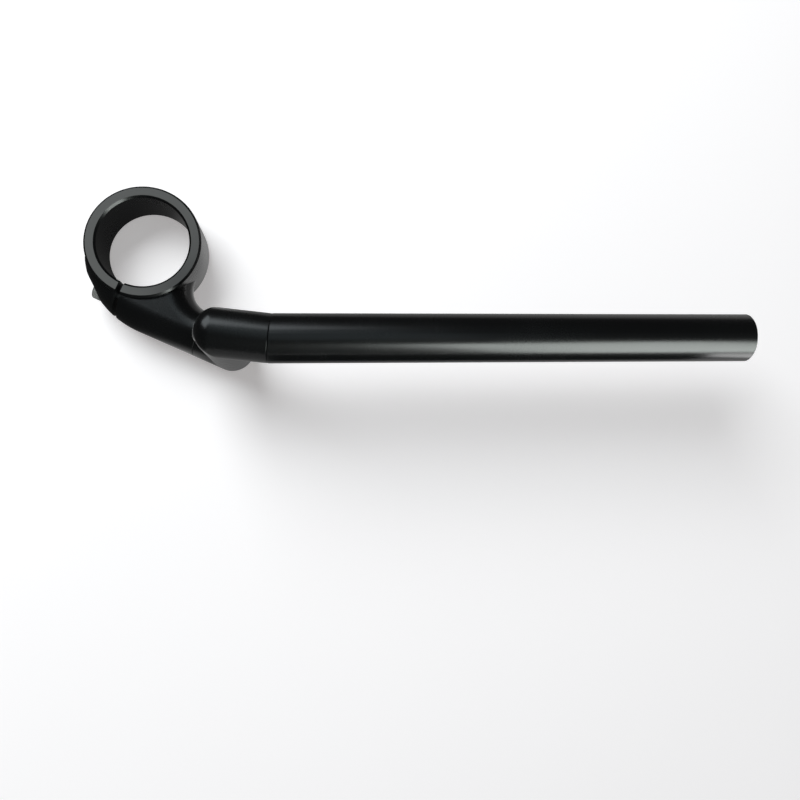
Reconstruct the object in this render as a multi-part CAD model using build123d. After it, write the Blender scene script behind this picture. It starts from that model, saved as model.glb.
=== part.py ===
from build123d import *
import os
from math import cos, radians, sin, sqrt

# Clip-on handlebar for one side of a motorcycle fork.
# Frame: origin on the fork axis at the ring's mid height, +Z up along the fork,
# +X along the bar towards its outer end. Millimetres and degrees.

# Clamp ring
fork_diameter = 43.0
ring_wall = 5.6
ring_height = 25.0
ring_outer_chamfer = 1.0
ring_bore_chamfer = 1.0
slit_width = 2.5

# Round section shared by the boss, the riser and the bar
tube_diameter = 22.2
seam_chamfer = 0.3

# Boss: its axis passes beside the ring and crosses the slit squarely
boss_angle = 24.6
boss_stand_off = 0.5
boss_drop = 1.0
boss_neck = 2.6
boss_blend_radius = 12.0
ear_start = 12.6
ear_radius = 43.3
ear_turn = 58.0
bend_bite = 0.15

# Riser: double elbow
lower_leg = 14.8
riser_rise = 36.0
upper_leg = 21.5
upper_leg_angle = 6.5
elbow_radius = 7.5

# Handlebar
bar_length = 222.0
bar_wall = 3.1
bar_root = 32.0
bar_end_chamfer = 0.5

# Locating spigots that centre the riser on the boss and the bar on the riser
spigot_diameter = 14.0
spigot_length = 4.0
spigot_gap = 0.1

# Pinch bolt: socket head cap screw through ear, slit and boss into the riser
pinch_diameter = 6.0
pinch_engagement = 10.8
pinch_head_diameter = 10.0
pinch_head_height = 6.0
pinch_head_chamfer = 0.5
pinch_socket = 5.0
pinch_socket_depth = 3.0
pinch_hole = 6.6
pinch_pocket = 11.0
ear_thickness = 6.6

# Bar bolt: button head screw through the upper elbow into the bar's root
button_diameter = 6.0
button_engagement = 13.0
button_head_diameter = 10.5
button_head_height = 3.3
button_head_flat = 5.6
button_head_rim = 0.6
button_socket = 4.0
button_socket_depth = 2.0
button_hole = 6.6
button_pocket = 11.0
button_proud = 0.5

# Tapped holes
thread_gap = 0.05
tap_run_out = 3.0
bolt_tip_chamfer = 0.8

# Derived sizes
tube_radius = tube_diameter / 2
fork_radius = fork_diameter / 2
ring_radius = fork_radius + ring_wall
half_height = ring_height / 2
boss_offset = ring_radius + boss_stand_off
button_seat = tube_radius + button_proud - button_head_height

# Pivots of the plan's arcs, along the boss and away from the fork's axis. The ear's axis bends
# from the boss's axis and ends in a ball. The blend's hollow runs just into the ring's wall.
ear_away = boss_offset + tube_radius - ear_radius
ear_bend_radius = ear_radius - tube_radius
ball_along = ear_start - ear_bend_radius * sin(radians(ear_turn))
ball_away = ear_away + ear_bend_radius * cos(radians(ear_turn))
blend_turn = boss_blend_radius + tube_radius
blend_away = boss_offset - blend_turn
blend_along = sqrt((ring_radius + boss_blend_radius - bend_bite) ** 2 - blend_away**2)
boss_length = blend_along + boss_neck

# Directions and centres
up = Vector(0, 0, 1)
outward = Vector(1, 0, 0)
boss_dir = Vector(cos(radians(boss_angle)), -sin(radians(boss_angle)), 0)
away_dir = Vector(-sin(radians(boss_angle)), -cos(radians(boss_angle)), 0)
leg_dir = Vector(cos(radians(upper_leg_angle)), -sin(radians(upper_leg_angle)), 0)
boss_start = away_dir * boss_offset - up * boss_drop
boss_end = boss_start + boss_dir * boss_length
head_seat = boss_start - boss_dir * (slit_width / 2 + ear_thickness)
lower_elbow = boss_end + boss_dir * lower_leg
upper_elbow = lower_elbow + up * riser_rise
bar_start = upper_elbow + leg_dir * upper_leg

FROM_START = (Align.CENTER, Align.CENTER, Align.MIN)
FROM_EDGE = (Align.MIN, Align.CENTER)


def rod(start, direction, diameter, length):
    """Round bar of the given diameter from a point along a direction."""
    frame = Plane(origin=start, z_dir=direction)
    return frame * Cylinder(diameter / 2, length, align=FROM_START)


def hex_recess(top, direction, across_flats, depth):
    """Hexagonal wrench recess sunk from a head's top along the bolt's direction."""
    frame = Plane(origin=top, z_dir=direction)
    hexagon = RegularPolygon(across_flats / 2, 6, major_radius=False)
    return frame * extrude(hexagon, depth)


def make_ring():
    """Plain ring with chamfered rims, before the boss is added."""
    blank = Cylinder(ring_radius, ring_height)
    rims = blank.edges().filter_by(GeomType.CIRCLE)
    return chamfer(rims, ring_outer_chamfer)


def make_bore():
    """Fork bore as a cutting tool, flared at both mouths by its chamfer."""
    mouth = fork_radius + ring_bore_chamfer
    funnel = Pos(0, 0, half_height - ring_bore_chamfer) * Cone(
        fork_radius, mouth, ring_bore_chamfer, align=FROM_START
    )
    return Cylinder(fork_radius, 2 * ring_height) + funnel + mirror(funnel, about=Plane.XY)


def half_section(disc, origin, side):
    """Half of a round section across the boss, on one side of its axis."""
    half = disc & Rectangle(tube_radius, tube_diameter, align=FROM_EDGE)
    return Plane(origin=origin, x_dir=side, z_dir=boss_dir) * half


def make_bend(along, away, radius, side, first_turn, turn):
    """Round edge of the boss swung about a pivot, from one turn clockwise by another."""
    pivot = boss_dir * along + away_dir * away - up * boss_drop
    # An ellipse with equal axes turns into a plain surface of revolution with few facets.
    section = half_section(Ellipse(tube_radius, tube_radius), pivot + away_dir * radius, side)
    axis = Axis(pivot, up)
    return revolve(section.rotate(axis, -first_turn), axis, -turn)


def make_boss():
    """Round boss joined to the ring by a flat web, from the ear past the slit to the neck.

    In plan the web lies between the ring and the boss's axis, which bends at the ear and at
    the blend. The web is as thick as the tube, so its flat faces run on into the round edges.
    """
    # The blend's bend and the ear's ball go on past the ring's wall and end inside the bore.
    past_tangency = 100
    ball_turn = 90
    plan = Plane(origin=-up * boss_drop, x_dir=boss_dir, z_dir=up)
    ear_bend = CenterArc((ear_start, -ear_away), ear_bend_radius, -90, -ear_turn)
    blend_bend = CenterArc((blend_along, -blend_away), blend_turn, -90, -past_tangency)
    outline = Line(ear_bend @ 0, blend_bend @ 0) + Line(ear_bend @ 1, blend_bend @ 1)
    web = extrude(plan * make_face(outline + ear_bend + blend_bend), tube_radius, both=True)

    flank_start = boss_start + boss_dir * ear_start
    flank_section = half_section(Circle(tube_radius), flank_start, away_dir)
    flank = extrude(flank_section, blend_along - ear_start, dir=boss_dir)
    ear = make_bend(ear_start, ear_away, ear_bend_radius, away_dir, 0, ear_turn)
    ball = make_bend(ball_along, ball_away, 0, away_dir, ear_turn, ball_turn)
    blend = make_bend(blend_along, blend_away, blend_turn, -away_dir, 0, past_tangency)

    neck_start = boss_start + boss_dir * blend_along
    neck = rod(neck_start, boss_dir, tube_diameter, boss_neck)
    face_rim = neck.edges().filter_by(GeomType.CIRCLE).sort_by(Axis(boss_start, boss_dir))[-1]
    neck = chamfer(face_rim, seam_chamfer)
    # The round edges join one another first, because the web touches them all.
    return flank + ear + ball + blend + neck + web


def make_clamp():
    body = make_ring() + make_boss() - make_bore()
    slit_frame = Plane(origin=(0, 0, 0), x_dir=boss_dir, z_dir=up)
    slit = slit_frame * Box(
        slit_width,
        boss_offset + tube_diameter,
        2 * ring_height,
        align=(Align.CENTER, Align.MAX, Align.CENTER),
    )
    body -= slit
    body += rod(boss_end, boss_dir, spigot_diameter, spigot_length)
    hole_length = (boss_end - head_seat).length + spigot_length
    body -= rod(head_seat, boss_dir, pinch_hole, hole_length)
    body -= rod(head_seat, -boss_dir, pinch_pocket, ear_radius)
    # Splines in place of the bends' surfaces of revolution take fewer facets.
    return body.to_splines()


def round_corner(tube, centre, dir_in, dir_out):
    """Rounds the outer corner of a mitred elbow.

    The sharp corner block is taken off and the section's outer segment is swung round
    in its place, which meets both legs tangentially. It is swung in two halves that
    share the elbow's middle plane.
    """
    pivot_step = tube_radius - elbow_radius
    side = (-dir_out).cross(dir_in)
    pivot = centre - dir_out * pivot_step + dir_in * pivot_step
    block_frame = Plane(origin=pivot, x_dir=-dir_out, z_dir=side)
    block = block_frame * Box(
        tube_radius, tube_radius, 2 * tube_diameter, align=(Align.MIN, Align.MIN, Align.CENTER)
    )
    section_frame = Plane(origin=centre + dir_in * pivot_step, x_dir=-dir_out, z_dir=dir_in)
    rounded = tube - block
    for half in (Align.MIN, Align.MAX):
        quadrant = Rectangle(tube_diameter, tube_diameter, align=(Align.MIN, half))
        segment = Circle(tube_radius) & Pos(pivot_step, 0) * quadrant
        rounded += revolve(section_frame * segment, Axis(pivot, side), 90)
    return rounded


def make_riser():
    route = Polyline(boss_end, lower_elbow, upper_elbow, bar_start)
    section = Plane(origin=boss_end, z_dir=boss_dir) * Circle(tube_radius)
    body = sweep(section, path=route, transition=Transition.RIGHT)
    end_rims = body.edges().filter_by(GeomType.CIRCLE)
    body = chamfer(end_rims, seam_chamfer)
    body = round_corner(body, lower_elbow, boss_dir, up)
    body = round_corner(body, upper_elbow, up, leg_dir)

    socket_diameter = spigot_diameter + 2 * spigot_gap
    socket_depth = spigot_length + spigot_gap
    body -= rod(boss_end, boss_dir, socket_diameter, socket_depth)
    body -= rod(bar_start, -leg_dir, socket_diameter, socket_depth)
    body -= rod(boss_end, boss_dir, pinch_diameter + 2 * thread_gap, pinch_engagement + tap_run_out)

    seat = upper_elbow - leg_dir * button_seat
    body -= rod(seat, -leg_dir, button_pocket, tube_radius)
    body -= rod(seat, leg_dir, button_hole, (bar_start - seat).length)
    return body


def make_handlebar():
    bar_end = bar_start + outward * bar_length
    # The root face stands square to the riser's leg, so the bar turns at the seam.
    overrun = tube_diameter * sin(radians(upper_leg_angle))
    body = rod(bar_start - outward * overrun, outward, tube_diameter, bar_length + overrun)
    end_rim = body.edges().filter_by(GeomType.CIRCLE).sort_by(Axis.X)[-1]
    body = chamfer(end_rim, bar_end_chamfer)
    body -= rod(bar_start, -leg_dir, 2 * tube_diameter, tube_diameter)
    root_rim = body.edges().filter_by(GeomType.ELLIPSE).sort_by(Axis.X)[0]
    body = chamfer(root_rim, seam_chamfer)

    bore_diameter = tube_diameter - 2 * bar_wall
    body -= rod(bar_end, -outward, bore_diameter, bar_length - bar_root)
    mouth = Plane(origin=bar_end, z_dir=-outward) * Cone(
        bore_diameter / 2 + bar_end_chamfer, bore_diameter / 2, bar_end_chamfer, align=FROM_START
    )
    body -= mouth

    body += rod(bar_start, -leg_dir, spigot_diameter, spigot_length)
    tap_start = bar_start - leg_dir * spigot_length
    tap_depth = spigot_length + button_engagement + tap_run_out
    body -= rod(tap_start, leg_dir, button_diameter + 2 * thread_gap, tap_depth)
    return body


def make_shank(seat, direction, diameter, length):
    """Threaded shank from the head's seat, pointed by a chamfer."""
    shank = rod(seat, direction, diameter, length)
    tip = shank.edges().filter_by(GeomType.CIRCLE).sort_by(Axis(seat, direction))[-1]
    return chamfer(tip, bolt_tip_chamfer)


def make_pinch_bolt():
    head = rod(head_seat, -boss_dir, pinch_head_diameter, pinch_head_height)
    top_rim = head.edges().filter_by(GeomType.CIRCLE).sort_by(Axis(head_seat, -boss_dir))[-1]
    head = chamfer(top_rim, pinch_head_chamfer)
    top = head_seat - boss_dir * pinch_head_height
    recess = hex_recess(top, boss_dir, pinch_socket, pinch_socket_depth)
    length = (boss_end - head_seat).length + pinch_engagement
    return head + make_shank(head_seat, boss_dir, pinch_diameter, length) - recess


def make_bar_bolt():
    """Button head screw: a short rim, a sloped side and a flat top with the recess."""
    seat = upper_elbow - leg_dir * button_seat
    rim = button_head_diameter / 2
    flat = button_head_flat / 2
    rim_top = (rim, button_head_rim)
    flat_edge = (flat, button_head_height)
    profile = make_face(
        Polyline((0, 0), (rim, 0), rim_top, flat_edge, (0, button_head_height), (0, 0))
    )
    head_frame = Plane(origin=seat, z_dir=-leg_dir)
    head = head_frame * revolve(Plane.XZ * profile, Axis.Z)
    top = seat - leg_dir * button_head_height
    recess = hex_recess(top, leg_dir, button_socket, button_socket_depth)
    length = (bar_start - seat).length + button_engagement
    return head + make_shank(seat, leg_dir, button_diameter, length) - recess


nodes = {
    "clamp": make_clamp(),
    "pinch_bolt": make_pinch_bolt(),
    "riser": make_riser(),
    "bar_bolt": make_bar_bolt(),
    "handlebar": make_handlebar(),
}

os.makedirs("parts", exist_ok=True)
for name, piece in nodes.items():
    export_step(piece, f"parts/{name}.step")
    size = piece.bounding_box().size
    print(f"{name}: {piece.volume:.0f} mm3, {size.X:.1f} x {size.Y:.1f} x {size.Z:.1f} mm")
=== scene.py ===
# %% [markdown]
# # A clip-on handlebar, dressed for its portrait
#
# A clip-on handlebar is one half of a motorcycle's steering. A split ring clamps round the fork
# tube, a stubby double elbow bolts to the ring's boss, and a straight bar bolts to the elbow. The
# solids come ready made from the CAD frame at their true size, so this lesson never moves them. It
# gives them a finish, models the bolts in the detail that a workshop would know, and sets up a
# small photo studio. The frame has its origin on the fork's axis, +Z up the fork and +X along the
# bar.

# %% Load the fixed frame
import math
import bmesh
import bpy
from mathutils import Matrix, Vector


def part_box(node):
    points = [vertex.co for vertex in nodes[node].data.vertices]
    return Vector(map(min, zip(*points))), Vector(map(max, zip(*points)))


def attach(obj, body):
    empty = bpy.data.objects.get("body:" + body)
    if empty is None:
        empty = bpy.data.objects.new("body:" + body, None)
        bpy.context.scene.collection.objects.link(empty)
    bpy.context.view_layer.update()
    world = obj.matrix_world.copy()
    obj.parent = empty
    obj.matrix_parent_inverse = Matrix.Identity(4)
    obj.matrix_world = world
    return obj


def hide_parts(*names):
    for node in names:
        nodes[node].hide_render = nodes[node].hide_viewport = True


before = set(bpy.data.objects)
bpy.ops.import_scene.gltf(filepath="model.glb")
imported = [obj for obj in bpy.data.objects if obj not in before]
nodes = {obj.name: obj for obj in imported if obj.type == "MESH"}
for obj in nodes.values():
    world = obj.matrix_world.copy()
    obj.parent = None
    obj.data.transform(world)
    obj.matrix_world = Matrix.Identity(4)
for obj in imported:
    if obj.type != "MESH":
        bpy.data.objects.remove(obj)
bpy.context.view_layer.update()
MM = 0.001
QUARTER_TURN = math.pi / 2

# %% [markdown]
# ## The camera
#
# The picture looks almost straight down at the part. In Blender a camera with no rotation looks
# straight down with +Y upwards in the picture, so three small angles say the rest: how far it tips
# along Y, how far it leans along X, and how far the picture turns. A short lens stands close to
# the part, which is why the bar's far end tapers a little and the ring shows its right wall.

# %% Place the camera
CAMERA_PLACE = Vector((84.54, -112.55, 356.82)) * MM
CAMERA_TIP = math.radians(6.07)
CAMERA_LEAN = math.radians(-5.835)
CAMERA_TURN = math.radians(-1.187)
CAMERA_LENS = 32.825
NEAREST_SEEN = 1 * MM

scene = bpy.context.scene
bpy.ops.object.select_all(action="DESELECT")
bpy.ops.object.camera_add(location=CAMERA_PLACE, rotation=(CAMERA_TIP, CAMERA_LEAN, CAMERA_TURN))
camera = bpy.context.object
camera.name = "camera"
camera.data.lens = CAMERA_LENS
camera.data.dof.use_dof = False
camera.data.clip_start = NEAREST_SEEN
scene.camera = camera
print("camera at", [round(v, 3) for v in camera.location], "lens", round(camera.data.lens, 2))

# %% [markdown]
# ## Shader sums in plain Python
#
# A material is a graph of nodes, and drawing it link by link is slow to write and slower to read.
# One small class wraps a socket instead. Python's own plus, minus and times then add Math nodes,
# and the method `node` adds any other node: its settings first, because some of them change which
# sockets there are, and then its sockets, each with a number or a link.


# %% The socket wrapper
class Socket:
    """An output socket that can be used in sums; each sum adds a Math node."""

    def __init__(self, tree, output=None):
        self.tree = tree
        self.output = output

    def node(self, kind, settings=None, sockets=None, output=0):
        made = self.tree.nodes.new(kind)
        for name, value in (settings or {}).items():
            if name == "stops":
                self.set_stops(made.color_ramp, value)
            else:
                setattr(made, name, value)
        for name, value in (sockets or {}).items():
            if isinstance(value, Socket):
                self.tree.links.new(value.output, made.inputs[name])
            else:
                made.inputs[name].default_value = value
        return Socket(self.tree, made.outputs[output]) if made.outputs else made

    def set_stops(self, ramp, stops):
        while len(ramp.elements) < len(stops):
            ramp.elements.new(1.0)
        for element, (place, shade) in zip(ramp.elements, stops):
            element.position = place
            element.color = (shade, shade, shade, 1)

    def math(self, operation, first, second):
        return self.node("ShaderNodeMath", {"operation": operation}, {0: first, 1: second})

    def __add__(self, other):
        return self.math("ADD", self, other)

    def __radd__(self, other):
        return self.math("ADD", other, self)

    def __sub__(self, other):
        return self.math("SUBTRACT", self, other)

    def __rsub__(self, other):
        return self.math("SUBTRACT", other, self)

    def __mul__(self, other):
        return self.math("MULTIPLY", self, other)

    def __rmul__(self, other):
        return self.math("MULTIPLY", other, self)


print("socket wrapper ready")

# %% [markdown]
# ## Words that every finish needs
#
# Each finish starts from an empty material, reads the place on the piece, lets noise vary a value a
# little, and blends two colours. These steps get a short function each, so that a finish reads
# like a recipe. The Mix node keeps its sockets for numbers, vectors and colours side by side under
# the same names, so its colour sockets are called by their numbers.

# %% Small helpers for a finish
MIX_SHARE = 0
MIX_FIRST_COLOUR = 6
MIX_SECOND_COLOUR = 7
MIX_RESULT_COLOUR = 2
NOISE_MIDDLE = 0.5


def new_finish(name):
    """A material with an empty tree, its main shader and a wrapper to build on."""
    material = bpy.data.materials.new(name)
    material.use_nodes = True
    tree = material.node_tree
    tree.nodes.clear()
    shader = tree.nodes.new("ShaderNodeBsdfPrincipled")
    end = tree.nodes.new("ShaderNodeOutputMaterial")
    tree.links.new(shader.outputs["BSDF"], end.inputs["Surface"])
    return material, shader, Socket(tree)


def feed(shader, name, socket):
    """Links a sum to one of the shader's inputs."""
    socket.tree.links.new(socket.output, shader.inputs[name])


def on_piece(start):
    """The place on the piece, in metres of the shared frame."""
    return start.node("ShaderNodeTexCoord", {}, {}, "Object")


def split(place):
    """The three coordinates of a place."""
    return [place.node("ShaderNodeSeparateXYZ", {}, {"Vector": place}, axis) for axis in "XYZ"]


def noise(place, size, detail=2.0, roughness=0.5):
    """Noise whose lumps are about `size` metres across, from 0 to 1."""
    sockets = {"Vector": place, "Scale": 1 / size, "Detail": detail, "Roughness": roughness}
    return place.node("ShaderNodeTexNoise", {}, sockets, "Fac")


def sway(lumps, reach):
    """Noise turned into a small change, up or down."""
    return (lumps - NOISE_MIDDLE) * reach


def blend(share, first, second):
    """A colour between two others."""
    sockets = {MIX_SHARE: share, MIX_FIRST_COLOUR: first, MIX_SECOND_COLOUR: second}
    return share.node("ShaderNodeMix", {"data_type": "RGBA"}, sockets, MIX_RESULT_COLOUR)


print("finish helpers ready")

# %% [markdown]
# ## Black anodised aluminium
#
# The clamp, the riser and the bar are machined, blasted with fine beads and then dyed black in the
# anodising bath. Blasting leaves a grain of a few tenths of a millimetre that scatters the light,
# so highlights are broad and dim, and the oxide skin on top is clear and hard like glass. The
# finish is therefore a nearly black base under a satin gloss. The grain goes into a bump, and a
# slow cloud of handling marks into the roughness, because a real surface is never equally dull
# everywhere. A Bevel node softens the normals at sharp edges, as the beads do on the real part.
#
# The ring's two flat faces are turned last, so they are duller than the rest. Their base colour is
# also painted greyer: a painted sheen that stands in for the overhead light they mirror. A mask
# finds them by their height and by their distance from the fork's axis.

# %% Find the ring's flat faces
RING_REACH = 28.0 * MM
FACE_SKIN = 0.03 * MM
RING_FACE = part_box("clamp")[1].z - FACE_SKIN


def flat_faces_with_painted_sheen(place):
    """1 on the ring's two flat faces and 0 elsewhere."""
    x, y, z = split(place)
    on_ring = place.math("LESS_THAN", x * x + y * y, RING_REACH**2)
    return on_ring * place.math("GREATER_THAN", z * z, RING_FACE**2)


print("ring faces lie beyond", round(RING_FACE / MM, 2), "mm above and below the middle")

# %% Mix the anodised finish
GRAIN_SIZE = 0.25 * MM
PIT_SIZE = 0.9 * MM
CLOUD_SIZE = 28 * MM
SKIN_IOR = 1.5
DYE_DEEP = (0.0015, 0.0017, 0.0019, 1)
DYE_THIN = (0.0026, 0.0029, 0.0031, 1)
# Painted sheen: the grey painted on the ring's flat faces in place of mirrored overhead light.
FACED_SHEEN_GREY = (0.092, 0.088, 0.085, 1)
SATIN = 0.26
SATIN_CLOUD = 0.08
SATIN_GRAIN = 0.06
FACED_DULLER = 0.26
GRAIN_SHARE = 0.6
BLAST_STRENGTH = 0.10
BLAST_DEPTH = 0.02 * MM
EDGE_ROUNDING = 0.12 * MM
EDGE_SAMPLES = 6


def black_anodised():
    material, shader, start = new_finish("black_anodised")
    place = on_piece(start)
    grain = noise(place, GRAIN_SIZE)
    pits = noise(place, PIT_SIZE, detail=3, roughness=0.6)
    cloud = noise(place, CLOUD_SIZE, detail=4, roughness=0.55)
    turned_and_sheen = flat_faces_with_painted_sheen(place)

    shader.inputs["IOR"].default_value = SKIN_IOR
    dye = blend(cloud, DYE_DEEP, DYE_THIN)
    # The flat faces get a painted sheen: their base colour is painted grey, and their roughness is
    # raised.
    feed(shader, "Base Color", blend(turned_and_sheen, dye, FACED_SHEEN_GREY))
    satin = SATIN + sway(cloud, SATIN_CLOUD) + sway(grain, SATIN_GRAIN)
    feed(shader, "Roughness", satin + turned_and_sheen * FACED_DULLER)

    soft_edge = start.node("ShaderNodeBevel", {"samples": EDGE_SAMPLES}, {"Radius": EDGE_ROUNDING})
    relief = grain * GRAIN_SHARE + pits * (1 - GRAIN_SHARE)
    sockets = {
        "Strength": BLAST_STRENGTH,
        "Distance": BLAST_DEPTH,
        "Height": relief,
        "Normal": soft_edge,
    }
    feed(shader, "Normal", start.node("ShaderNodeBump", {}, sockets))
    return material


anodised = black_anodised()
for name in ("clamp", "riser", "handlebar"):
    nodes[name].material_slots[0].material = anodised
print("anodised finish on clamp, riser and handlebar")

# %% [markdown]
# ## Bright steel for the bolts
#
# The screws are zinc plated steel: silvery, a little cloudy and finely grained. Metal has no colour
# of its own below its gloss, so Metallic is high and the base colour is the colour of its
# reflection. The rest stays matt, for the dull bloom that zinc has.

# %% Mix the plated steel
PLATING_CLOUD = 2.5 * MM
PLATING_GRAIN = 0.12 * MM
PLATING_METALLIC = 0.8
PLATING_DULL = (0.60, 0.60, 0.59, 1)
PLATING_BRIGHT = (0.76, 0.76, 0.74, 1)
PLATING_SATIN = 0.24
PLATING_SATIN_CLOUD = 0.12
PLATING_SATIN_GRAIN = 0.08
PLATING_STRENGTH = 0.06
PLATING_DEPTH = 0.01 * MM


def plated_steel():
    material, shader, start = new_finish("bolt_steel")
    place = on_piece(start)
    cloud = noise(place, PLATING_CLOUD, detail=3)
    grain = noise(place, PLATING_GRAIN)
    shader.inputs["Metallic"].default_value = PLATING_METALLIC
    feed(shader, "Base Color", blend(cloud, PLATING_DULL, PLATING_BRIGHT))
    satin = PLATING_SATIN + sway(cloud, PLATING_SATIN_CLOUD) + sway(grain, PLATING_SATIN_GRAIN)
    feed(shader, "Roughness", satin)
    sockets = {"Strength": PLATING_STRENGTH, "Distance": PLATING_DEPTH, "Height": grain}
    feed(shader, "Normal", start.node("ShaderNodeBump", {}, sockets))
    return material


steel = plated_steel()
print("plated steel mixed")

# %% [markdown]
# ## Working by hand, in code
#
# In edit mode an operator acts on all that is selected, so every step starts with a selection. With
# no mouse to click with, the vertices, edges or faces are picked by a test on their place or their
# normal. One helper opens a piece for editing, one picks, and one draws the picked face out along
# the Z axis, which is how turned shapes grow here.

# %% Open and pick
UPRIGHT = 0.9


def select_alone(piece):
    bpy.ops.object.select_all(action="DESELECT")
    piece.select_set(True)
    bpy.context.view_layer.objects.active = piece


def apply_place():
    """Moves the selected object's place, turn and scale into its mesh."""
    bpy.ops.object.transform_apply(location=True, rotation=True, scale=True)


def open_mesh(piece):
    """Puts one piece alone into edit mode, with nothing selected."""
    select_alone(piece)
    bpy.ops.object.mode_set(mode="EDIT")
    bpy.ops.mesh.select_all(action="DESELECT")


def close_mesh():
    bpy.ops.object.mode_set(mode="OBJECT")


def pick(piece, kind, wanted):
    """Selects the vertices, edges or faces that pass a test, and nothing else."""
    bpy.ops.mesh.select_mode(type=kind)
    bpy.ops.mesh.select_all(action="DESELECT")
    shape = bmesh.from_edit_mesh(piece.data)
    parts = {"VERT": shape.verts, "EDGE": shape.edges, "FACE": shape.faces}[kind]
    picked = [part for part in parts if wanted(part)]
    for part in picked:
        part.select_set(True)
    shape.select_flush_mode()
    bmesh.update_edit_mesh(piece.data)
    return len(picked)


def faces_up(face):
    return face.normal.z > UPRIGHT


def faces_down(face):
    return face.normal.z < -UPRIGHT


def draw_out(height, widening=1.0):
    """Extrudes the selected face along Z and resizes the new one about the axis."""
    bpy.ops.mesh.extrude_region_move(TRANSFORM_OT_translate={"value": (0, 0, height)})
    bpy.ops.transform.resize(value=(widening, widening, 1), center_override=(0, 0, 0))


print("edit helpers ready")

# %% [markdown]
# ## Heads for the two screws
#
# Two M6 screws hold the part together. The long one is a cap screw with a tall, knurled head that
# fingers can turn; it crosses the slit and pinches the ring. The short one is a button head screw
# with a low dome. Both are modelled upright at the origin, seat at height nought and head upwards,
# because round shapes are easiest about the Z axis. The knurl comes from a cylinder with twice as
# many sides as ridges: every second corner is drawn in a little. The dome is drawn up from a thin
# disc by extruding its top face again and again, each time a little smaller, along a quarter arc.

# %% Turn the cap head
SCREW_DIAMETER = 6.0 * MM
CAP_DIAMETER = 10.0 * MM
CAP_HEIGHT = 6.0 * MM
CAP_RIDGES = 54
KNURL_DEPTH = 0.17 * MM
KNURL_LEVELS = [0.5 * MM, 0.7 * MM, 4.9 * MM, 5.1 * MM]
CAP_ROUNDING = 0.45 * MM
CAP_ROUNDING_STEPS = 3
HAIR = 0.02 * MM


def turned_disc(name, sides, diameter, height):
    """A cylinder that stands on the origin, with its place applied."""
    bpy.ops.object.select_all(action="DESELECT")
    bpy.ops.mesh.primitive_cylinder_add(
        vertices=sides, radius=diameter / 2, depth=height, location=(0, 0, height / 2)
    )
    disc = bpy.context.object
    disc.name = name
    apply_place()
    return disc


def is_groove(vertex):
    """True for every second corner of the knurled band."""
    in_band = KNURL_LEVELS[1] - HAIR < vertex.co.z < KNURL_LEVELS[2] + HAIR
    corner = round(math.atan2(vertex.co.y, vertex.co.x) / math.pi * CAP_RIDGES)
    return in_band and corner % 2 == 1


pinch_screw = turned_disc("pinch_screw", 2 * CAP_RIDGES, CAP_DIAMETER, CAP_HEIGHT)
open_mesh(pinch_screw)
for level in KNURL_LEVELS:
    bpy.ops.mesh.select_all(action="SELECT")
    bpy.ops.mesh.bisect(plane_co=(0, 0, level), plane_no=(0, 0, 1))
groove_corners = pick(pinch_screw, "VERT", is_groove)
drawn_in = 1 - 2 * KNURL_DEPTH / CAP_DIAMETER
bpy.ops.transform.resize(value=(drawn_in, drawn_in, 1), center_override=(0, 0, 0))
pick(pinch_screw, "EDGE", lambda edge: all(v.co.z > CAP_HEIGHT - HAIR for v in edge.verts))
bpy.ops.mesh.bevel(offset=CAP_ROUNDING, segments=CAP_ROUNDING_STEPS, affect="EDGES")
close_mesh()
print("cap head with", groove_corners // 2, "grooves")

# %% Draw up the button head
BUTTON_SIDES = 72
BUTTON_DIAMETER = 10.5 * MM
BUTTON_RIM = 0.6 * MM
BUTTON_HEIGHT = 3.3 * MM
BUTTON_FLAT = 5.6 * MM
DOME_STEPS = 10

bar_screw = turned_disc("bar_screw", BUTTON_SIDES, BUTTON_DIAMETER, BUTTON_RIM)
open_mesh(bar_screw)
pick(bar_screw, "FACE", faces_up)
dome_width = BUTTON_DIAMETER
dome_top = BUTTON_RIM
for step in range(1, DOME_STEPS + 1):
    turn = QUARTER_TURN * step / DOME_STEPS
    width = BUTTON_FLAT + (BUTTON_DIAMETER - BUTTON_FLAT) * math.cos(turn)
    top = BUTTON_RIM + (BUTTON_HEIGHT - BUTTON_RIM) * math.sin(turn)
    draw_out(top - dome_top, width / dome_width)
    dome_width = width
    dome_top = top
close_mesh()
print("button head", round(dome_top / MM, 2), "mm high, flat", round(dome_width / MM, 2), "mm")

# %% [markdown]
# ## The length of each screw
#
# A screw has to end where its CAD solid ends, or it would stick out of the part. Rather than copy
# lengths by hand, the lesson measures them: it looks along the screw's direction for the solid's
# first and last points, and across it for the middle.

# %% Measure the screws on their solids
BOSS_ANGLE = math.radians(-24.6)
LEG_ANGLE = math.radians(-6.5)


def screw_axis(node, angle, head_height):
    """The screw's direction, its seat's middle and its length below the head."""
    along = Vector((math.cos(angle), math.sin(angle), 0))
    across = Vector((-math.sin(angle), math.cos(angle), 0))
    points = [vertex.co for vertex in nodes[node].data.vertices]
    reach = [point.dot(along) for point in points]
    width = [point.dot(across) for point in points]
    height = [point.z for point in points]
    seat_reach = min(reach) + head_height
    seat = along * seat_reach + across * (min(width) + max(width)) / 2
    seat.z = (min(height) + max(height)) / 2
    return along, seat, max(reach) - seat_reach


pinch_dir, pinch_seat, pinch_length = screw_axis("pinch_bolt", BOSS_ANGLE, CAP_HEIGHT)
bar_dir, bar_seat, bar_screw_length = screw_axis("bar_bolt", LEG_ANGLE, BUTTON_HEIGHT)
print("screws", round(pinch_length / MM, 1), "and", round(bar_screw_length / MM, 1), "mm long")

# %% [markdown]
# ## Shanks
#
# The shank is drawn down out of the head's lower face. First comes a small cone, which is the
# rolled fillet under the head, then the plain length, then a step in to the thread's core, and at
# the end a pointed tip. Extruding keeps head and shank in one closed skin, which the Boolean
# modifiers need later.

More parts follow.
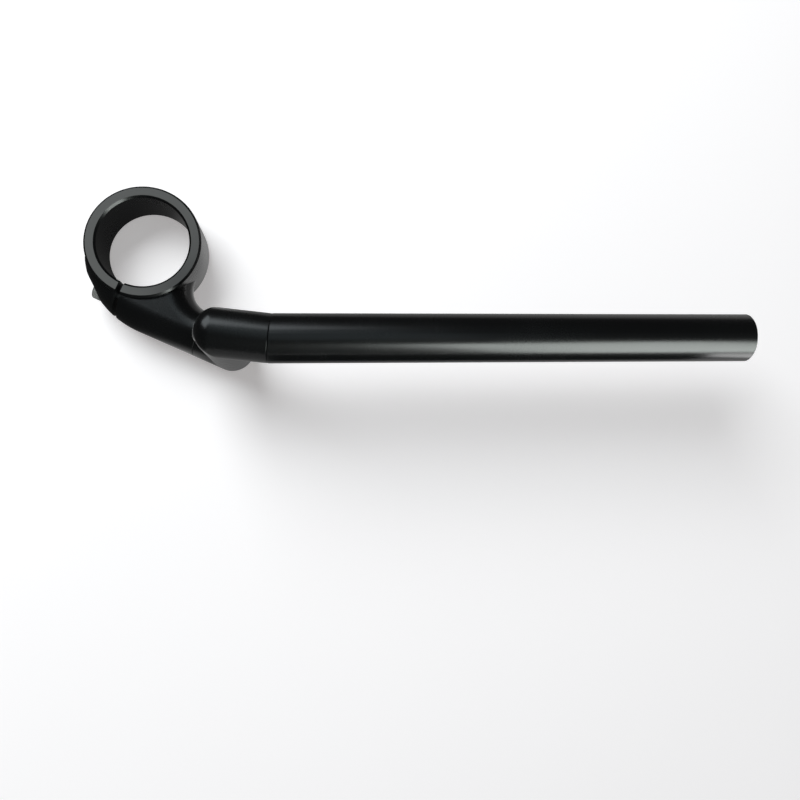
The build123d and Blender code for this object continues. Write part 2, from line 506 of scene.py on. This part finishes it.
# %% Draw the shanks down
FILLET = 0.35 * MM
CORE_DIAMETER = 4.9 * MM
THREAD_LENGTH = 24.0 * MM
STEP_LENGTH = 0.8 * MM
TIP_LENGTH = 0.8 * MM
TIP_NARROWING = 0.72


def draw_shank(screw, head_diameter, length):
    open_mesh(screw)
    pick(screw, "FACE", faces_down)
    collar = SCREW_DIAMETER / 2 + FILLET
    bpy.ops.mesh.inset(thickness=head_diameter / 2 - collar)
    draw_out(-FILLET, SCREW_DIAMETER / 2 / collar)
    draw_out(THREAD_LENGTH + FILLET - length)
    draw_out(-STEP_LENGTH, CORE_DIAMETER / SCREW_DIAMETER)
    draw_out(STEP_LENGTH + TIP_LENGTH - THREAD_LENGTH)
    draw_out(-TIP_LENGTH, TIP_NARROWING)
    close_mesh()
    print(screw.name, "with its shank has", len(screw.data.polygons), "faces")


draw_shank(pinch_screw, CAP_DIAMETER, pinch_length)
draw_shank(bar_screw, BUTTON_DIAMETER, bar_screw_length)

# %% [markdown]
# ## Threads
#
# A thread is one ridge that climbs round and round. It could be painted on as a bump, but a bump
# is lost in the outline and in the exported mesh. Here it is a wedge-shaped wire, wound by a Screw
# modifier and united with the core. The wedge's foot lies inside the core and is narrower than the
# pitch, so no turn touches the next one.


# %% Apply and combine
def apply_modifier(piece, modifier):
    select_alone(piece)
    bpy.ops.object.modifier_apply(modifier=modifier.name)


def combine(piece, tool, operation):
    """Joins a tool to a piece, or cuts it out, and throws the tool away."""
    boolean = piece.modifiers.new("combine", "BOOLEAN")
    boolean.operation = operation
    boolean.solver = "EXACT"
    boolean.object = tool
    apply_modifier(piece, boolean)
    bpy.data.objects.remove(tool)
    print(piece.name, "after", operation.lower(), "has", len(piece.data.polygons), "faces")


print("modifier helpers ready")

# %% Shape the wire
PITCH = 1.0 * MM
WIRE_FOOT = 0.92 * PITCH
WIRE_CREST = 0.16 * PITCH
WIRE_SUNK = 0.1 * MM
WIRE_INNER = CORE_DIAMETER / 2 - WIRE_SUNK
WIRE_OUTER = SCREW_DIAMETER / 2 - HAIR
WIRE_SIDES = 4


def wire_section():
    """The wire's wedge, four edges that stand beside the Z axis."""
    depth = WIRE_OUTER - WIRE_INNER
    middle = (WIRE_OUTER + WIRE_INNER) / 2
    bpy.ops.object.select_all(action="DESELECT")
    bpy.ops.mesh.primitive_plane_add(
        size=depth, location=(middle, 0, 0), rotation=(QUARTER_TURN, 0, 0)
    )
    wire = bpy.context.object
    apply_place()
    open_mesh(wire)
    pick(wire, "VERT", lambda vertex: vertex.co.x < middle)
    bpy.ops.transform.resize(value=(1, 1, WIRE_FOOT / depth), center_override=(0, 0, 0))
    pick(wire, "VERT", lambda vertex: vertex.co.x > middle)
    bpy.ops.transform.resize(value=(1, 1, WIRE_CREST / depth), center_override=(0, 0, 0))
    bpy.ops.mesh.select_all(action="SELECT")
    bpy.ops.mesh.delete(type="ONLY_FACE")
    close_mesh()
    return wire


print("wire", round((WIRE_OUTER - WIRE_INNER) / MM, 2), "mm deep, pitch", PITCH / MM, "mm")

# %% Wind the threads
TURN_STEPS = 24
THREAD_TURNS = round((THREAD_LENGTH - STEP_LENGTH - TIP_LENGTH) / PITCH) - 1


def wound_wire(lowest):
    """The wire wound upwards about the Z axis, from a height, with both ends closed."""
    wire = wire_section()
    winding = wire.modifiers.new("winding", "SCREW")
    winding.axis = "Z"
    winding.angle = 2 * math.pi
    winding.screw_offset = PITCH
    winding.iterations = THREAD_TURNS
    winding.steps = TURN_STEPS
    winding.render_steps = TURN_STEPS
    apply_modifier(wire, winding)
    open_mesh(wire)
    bpy.ops.mesh.select_all(action="SELECT")
    bpy.ops.mesh.fill_holes(sides=WIRE_SIDES)
    bpy.ops.mesh.select_all(action="SELECT")
    bpy.ops.mesh.normals_make_consistent(inside=False)
    bpy.ops.transform.translate(value=(0, 0, lowest))
    close_mesh()
    return wire


for screw, length in ((pinch_screw, pinch_length), (bar_screw, bar_screw_length)):
    combine(screw, wound_wire(TIP_LENGTH + PITCH / 2 - length), "UNION")
print("threads of", THREAD_TURNS, "turns")

# %% [markdown]
# ## Wrench holes
#
# Both heads take a hexagonal wrench. The hole is sunk with a Boolean modifier by a cutter that
# starts as a six-sided cylinder: its top is drawn out into a flared mouth, and its bottom is drawn
# to the point that the drill leaves.

# %% Sink the wrench holes
CAP_WRENCH = 5.0 * MM
CAP_WRENCH_DEPTH = 3.0 * MM
BUTTON_WRENCH = 4.0 * MM
BUTTON_WRENCH_DEPTH = 2.0 * MM
MOUTH = 0.25 * MM
FLARE = 1.12
DRILL_POINT = 0.7 * MM
CLEAR = 0.5 * MM


def sink_hexagon(screw, top, across_flats, depth):
    """Cuts a hexagonal hole with a flared mouth and a drill point into a head."""
    bpy.ops.object.select_all(action="DESELECT")
    shaft = depth - MOUTH
    bpy.ops.mesh.primitive_cylinder_add(
        vertices=6,
        radius=across_flats / math.sqrt(3),
        depth=shaft,
        location=(0, 0, top - MOUTH - shaft / 2),
    )
    cutter = bpy.context.object
    apply_place()
    open_mesh(cutter)
    pick(cutter, "FACE", faces_up)
    draw_out(MOUTH, FLARE)
    draw_out(CLEAR)
    pick(cutter, "FACE", faces_down)
    draw_out(-DRILL_POINT)
    bpy.ops.mesh.merge(type="CENTER")
    bpy.ops.mesh.select_all(action="SELECT")
    bpy.ops.mesh.normals_make_consistent(inside=False)
    close_mesh()
    combine(screw, cutter, "DIFFERENCE")


sink_hexagon(pinch_screw, CAP_HEIGHT, CAP_WRENCH, CAP_WRENCH_DEPTH)
sink_hexagon(bar_screw, BUTTON_HEIGHT, BUTTON_WRENCH, BUTTON_WRENCH_DEPTH)

# %% [markdown]
# ## Put the screws in their holes
#
# Each finished screw is laid along its hole. Its Z axis turns to point out of the hole, its seat
# goes to the seat of the CAD solid, and the place is then applied, so that it lives in the mesh.
# The screws stand in for the two CAD bolts.

# %% Lay the screws in place
SMOOTH_ANGLE = math.radians(30)


def seat_screw(screw, node, along, seat):
    up = Vector((0, 0, 1))
    out = -along
    turn = Matrix((up, out.cross(up), out)).transposed().to_4x4()
    screw.matrix_world = Matrix.Translation(seat) @ turn
    select_alone(screw)
    apply_place()
    bpy.ops.object.shade_smooth_by_angle(angle=SMOOTH_ANGLE)
    screw.data.materials.clear()
    screw.data.materials.append(steel)
    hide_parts(node)
    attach(screw, "root")
    lowest = min(vertex.co.z for vertex in screw.data.vertices)
    solid_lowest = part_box(node)[0].z
    print(screw.name, "lowest", round(lowest / MM, 2), "mm, solid", round(solid_lowest / MM, 2))


seat_screw(pinch_screw, "pinch_bolt", pinch_dir, pinch_seat)
seat_screw(bar_screw, "bar_bolt", bar_dir, bar_seat)

# %% [markdown]
# ## A pale floor
#
# The part lies on a seamless white sheet, with the ring's lower face down. The floor is one wide
# plane. Its matt white finish has a faint unevenness so that it isn't a computed flat white, and a
# glow that keeps the shadows pale, as light that wanders about a white studio does. The sheet is a
# touch warm, because the light on it is a touch cool.
#
# Black gloss is a weak mirror, and a sheet that is white all round would draw a pale band along
# each lower edge. A ray that comes off gloss therefore finds other tones in the sheet: nearly dark
# on the ring's left, pale close to its right, half grey along the bar and bright past the bar's
# end. The tones run from left to right on a slant, which is steeper behind the part. The Light Path
# node tells such rays from the camera's own.

# %% Mix the white sheet
SHEET_CLOUD = 90 * MM
SHEET_DARKEST = (0.90, 0.87, 0.865, 1)
SHEET_LIGHTEST = (0.92, 0.89, 0.885, 1)
SHEET_DULLNESS = 0.8
SHEET_GLOSS = 0.2
SHEET_GLOW = 0.36
SHEET_TINT = (1.0, 0.965, 0.96, 1)
TONES_START = -50 * MM
TONES_SPAN = 500 * MM
TONES_LEAN = -0.3
FAR_SIDE = 40 * MM
FAR_LEAN = -0.7
DARK_LEFT = [(0.06, 0.05), (0.10, 0.08), (0.122, 0.20)]
PALE_RIGHT = [(0.142, 0.42), (0.160, 0.70), (0.184, 0.32), (0.66, 0.54)]
BRIGHT_END = [(0.83, 0.50), (0.91, 4.5)]


def mirrored_tones(place):
    """The light that the sheet sends to gloss, by the place on the sheet."""
    x, y, _ = split(place)
    far_side = place.math("MAXIMUM", y - FAR_SIDE, 0.0)
    slant = x + y * TONES_LEAN + far_side * FAR_LEAN
    along = (slant - TONES_START) * (1 / TONES_SPAN)
    stops = DARK_LEFT + PALE_RIGHT + BRIGHT_END
    tone = place.node("ShaderNodeValToRGB", {"stops": stops}, {"Fac": along})
    return place.node("ShaderNodeEmission", {}, {"Color": tone})


def white_sheet():
    material, shader, start = new_finish("white_sheet")
    place = on_piece(start)
    cloud = noise(place, SHEET_CLOUD, detail=3)
    feed(shader, "Base Color", blend(cloud, SHEET_DARKEST, SHEET_LIGHTEST))
    shader.inputs["Roughness"].default_value = SHEET_DULLNESS
    shader.inputs["Specular IOR Level"].default_value = SHEET_GLOSS
    shader.inputs["Emission Color"].default_value = SHEET_TINT
    shader.inputs["Emission Strength"].default_value = SHEET_GLOW

    lit = Socket(start.tree, shader.outputs["BSDF"])
    to_gloss = start.node("ShaderNodeLightPath", {}, {}, "Is Glossy Ray")
    sockets = {0: to_gloss, 1: lit, 2: mirrored_tones(place)}
    either = start.node("ShaderNodeMixShader", {}, sockets)
    end = start.tree.get_output_node("ALL")
    start.tree.links.new(either.output, end.inputs["Surface"])
    return material


sheet = white_sheet()
print("white sheet mixed, glow", SHEET_GLOW)

# %% Lay the floor
FLOOR_SIZE = 6.0

floor_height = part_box("clamp")[0].z
bpy.ops.object.select_all(action="DESELECT")
bpy.ops.mesh.primitive_plane_add(size=FLOOR_SIZE, location=(0, 0, floor_height))
floor = bpy.context.object
floor.name = "floor"
apply_place()
floor.data.materials.append(sheet)
print("floor at", round(floor_height / MM, 2), "mm")

# %% [markdown]
# ## Soft studio light
#
# Black metal shows nothing but what it mirrors, so the lights are placed by their reflections. A
# wide overhead panel at the far left throws the soft shadows to the right and draws the short line
# along the root of the bar. A weak fill panel straight above broadens that line. A third panel
# stands low on the near side: it draws the long grey stripe along the lower half of the bar,
# strongest at the far end.
#
# On the sheet the low panel would throw a second shadow to the left. Light linking keeps it off: a
# light can have a collection of the objects that it lights, or leaves out. A fourth panel, in the
# place of the overhead one, makes up for it and lights the sheet alone.

# %% Hang the lights
PART_MIDDLE = Vector((120, -40, 15)) * MM
FAR_LEFT = Vector((-0.54, 0.84, 1.03))
ABOVE = Vector((0.10, 0.05, 1.20))
LOW_AND_NEAR = Vector((0.66, -0.87, 0.55))
WIDE = (1.15, 1.1)
NARROW = (0.48, 1.0)
TALL = (0.69, 0.95)


def soft_panel(name, place, size, power, tint):
    """A rectangular area light at a place, turned to face the part."""
    bpy.ops.object.select_all(action="DESELECT")
    turn = (PART_MIDDLE - place).to_track_quat("-Z", "Y").to_euler()
    bpy.ops.object.light_add(type="AREA", location=place, rotation=turn)
    panel = bpy.context.object
    panel.name = name
    panel.data.shape = "RECTANGLE"
    panel.data.size, panel.data.size_y = size
    panel.data.energy = power
    panel.data.color = tint
    panel.visible_camera = False
    print(name, "at", [round(v, 2) for v in place], "power", power)
    return panel


soft_panel("overhead_panel", FAR_LEFT, WIDE, power=11.5, tint=(0.88, 0.96, 1.0))
soft_panel("fill_panel", ABOVE, NARROW, power=0.7, tint=(0.76, 0.93, 1.0))
side_panel = soft_panel("side_panel", LOW_AND_NEAR, TALL, power=18.0, tint=(0.93, 1.0, 0.96))
sheet_panel = soft_panel("sheet_panel", FAR_LEFT, WIDE, power=16.0, tint=(0.96, 0.99, 1.0))


# %% Link two of the lights
def link_to_floor(panel, state):
    """Lets a panel light the floor alone (INCLUDE), or everything else (EXCLUDE)."""
    linked = bpy.data.collections.new(panel.name + "_link")
    linked.objects.link(floor)
    linked.collection_objects[0].light_linking.link_state = state
    panel.light_linking.receiver_collection = linked
    print(panel.name, "and the floor:", state.lower())


link_to_floor(side_panel, "EXCLUDE")
link_to_floor(sheet_panel, "INCLUDE")

# %% [markdown]
# ## A black card for the gloss
#
# Photographers cut a bright edge away with a piece of black card. This one stands beside the bar,
# below the long stripe's reflection, so that the bar's lower edge is dark against the white sheet.
# It is there for gloss alone: it throws no shadow, and the camera doesn't see it.

# %% Stand a black card beside the bar
CARD_GAP = 36 * MM
CARD_TOP = 41 * MM
PAPER_BLACK = (0.004, 0.004, 0.004, 1)
PAPER_DULLNESS = 0.9
PAPER_GLOSS = 0.1


def black_paper():
    material, shader, _ = new_finish("black_paper")
    shader.inputs["Base Color"].default_value = PAPER_BLACK
    shader.inputs["Roughness"].default_value = PAPER_DULLNESS
    shader.inputs["Specular IOR Level"].default_value = PAPER_GLOSS
    return material


bar_low, bar_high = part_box("handlebar")
card_length = bar_high.x - bar_low.x
card_height = CARD_TOP - floor_height
card_place = (bar_low.x + card_length / 2, bar_low.y - CARD_GAP, floor_height + card_height / 2)
bpy.ops.object.select_all(action="DESELECT")
bpy.ops.mesh.primitive_plane_add(size=1, location=card_place, rotation=(QUARTER_TURN, 0, 0))
card = bpy.context.object
card.name = "black_card"
bpy.ops.transform.resize(value=(card_length, 1, card_height))
apply_place()
card.data.materials.append(black_paper())
card.visible_camera = False
card.visible_shadow = False
card.visible_diffuse = False
print("card", [round(v / MM, 1) for v in card.dimensions], "mm")

# %% [markdown]
# ## A dim room
#
# The rest of the room stays dim, which keeps the upper half of the bar black. The camera sees the
# room in the tone of the sheet's far edge, so that no horizon shows behind the part. The Standard
# view transform shows the tones as they are worked out, and white stays white.

# %% Dim the room
ROOM_GLOW = 0.05
ROOM_WHITE = (1, 1, 1, 1)
SHEET_RETURNS = 0.9
ROOM_AS_SEEN = SHEET_GLOW + SHEET_RETURNS * ROOM_GLOW

world = bpy.data.worlds.new("studio")
scene.world = world
world.use_nodes = True
world.node_tree.nodes.clear()
room = Socket(world.node_tree)
glow = room.node("ShaderNodeBackground", {}, {"Color": ROOM_WHITE, "Strength": ROOM_GLOW})
seen = room.node("ShaderNodeBackground", {}, {"Color": SHEET_TINT, "Strength": ROOM_AS_SEEN})
to_camera = room.node("ShaderNodeLightPath", {}, {}, "Is Camera Ray")
mixed = room.node("ShaderNodeMixShader", {}, {0: to_camera, 1: glow, 2: seen})
room.node("ShaderNodeOutputWorld", {}, {"Surface": mixed})

scene.view_settings.view_transform = "Standard"
scene.view_settings.look = "None"
scene.view_settings.exposure = 0.0
print("room glow", ROOM_GLOW, "seen as", round(ROOM_AS_SEEN, 3))

# %% [markdown]
# ## Sign off
#
# The dressed part has to keep the size of the solids it stands on.

# %% Finish
print("scene dressed")
